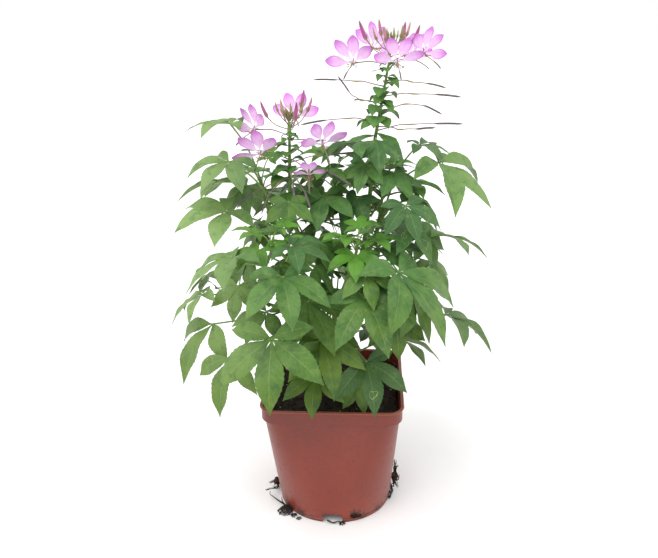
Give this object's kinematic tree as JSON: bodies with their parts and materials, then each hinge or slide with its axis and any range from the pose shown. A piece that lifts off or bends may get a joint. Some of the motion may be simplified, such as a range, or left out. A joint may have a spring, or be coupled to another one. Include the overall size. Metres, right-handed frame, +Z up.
{
  "type": "potted spider flower plant",
  "caption": "Bushy flowering plant with palmate leaves and pink flower heads, in a square-topped nursery pot with a round foot, that stands on a table.",
  "frame": {"origin": "centre of the pot's round foot, on the plane that it rests on", "axes": "+Z up, the way the plant grows; -Y towards the side with the fullest leaves, its front; +X to the front view's right"},
  "size_m": [0.261, 0.2585, 0.415],
  "materials": {
    "pot_plastic": "injection-moulded polypropylene, terracotta coloured, satin",
    "soil": "moist peat and bark mix with a few perlite grains",
    "roots": "fine roots with soil stuck to them",
    "stem": "green plant stem, finely hairy",
    "young_leaf": "young leaf, matte",
    "raceme": "green flower stalk with thin stalks and slender dark pods",
    "bud": "closed petals, dusky rose with green",
    "petal": "thin lilac-pink petal",
    "leaf": "thin green leaf, matte"
  },
  "bodies": {
    "root": {"centre_shoot": "young_leaf", "front_left_shoot": "young_leaf", "front_shoot": "young_leaf", "leaf_01": "leaf", "leaf_02": "leaf", "leaf_03": "leaf", "leaf_04": "leaf", "leaf_05": "leaf", "leaf_06": "leaf", "leaf_07": "leaf", "leaf_08": "leaf", "leaf_09": "leaf", "leaf_10": "leaf", "leaf_11": "leaf", "leaf_12": "leaf", "leaf_13": "leaf", "leaf_14": "leaf", "leaf_15": "leaf", "leaf_16": "leaf", "leaf_17": "leaf", "leaf_18": "leaf", "leaf_19": "leaf", "leaf_20": "leaf", "leaf_21": "leaf", "leaf_22": "leaf", "leaf_23": "leaf", "leaf_24": "leaf", "leaf_25": "leaf", "leaf_26": "leaf", "leaf_27": "leaf", "leaf_28": "leaf", "leaf_29": "leaf", "leaf_30": "leaf", "leaf_31": "leaf", "leaf_32": "leaf", "leaf_33": "leaf", "leaf_34": "leaf", "left_bud_cluster": "bud", "left_flower_1": "petal", "left_flower_2": "petal", "left_flower_3": "petal", "left_flower_4": "petal", "left_flower_5": "petal", "left_raceme": "raceme", "low_left_shoot": "young_leaf", "main_stem": "stem", "pot": "pot_plastic", "potting_soil": "soil", "right_bud_cluster": "bud", "right_flower_1": "petal", "right_flower_2": "petal", "right_flower_3": "petal", "right_flower_4": "petal", "right_flower_5": "petal", "right_raceme": "raceme", "right_stem": "stem", "root_tuft_left": "roots", "root_tuft_right": "roots", "upper_left_shoot": "young_leaf", "upper_right_shoot": "young_leaf"}
  },
  "joints": []
}
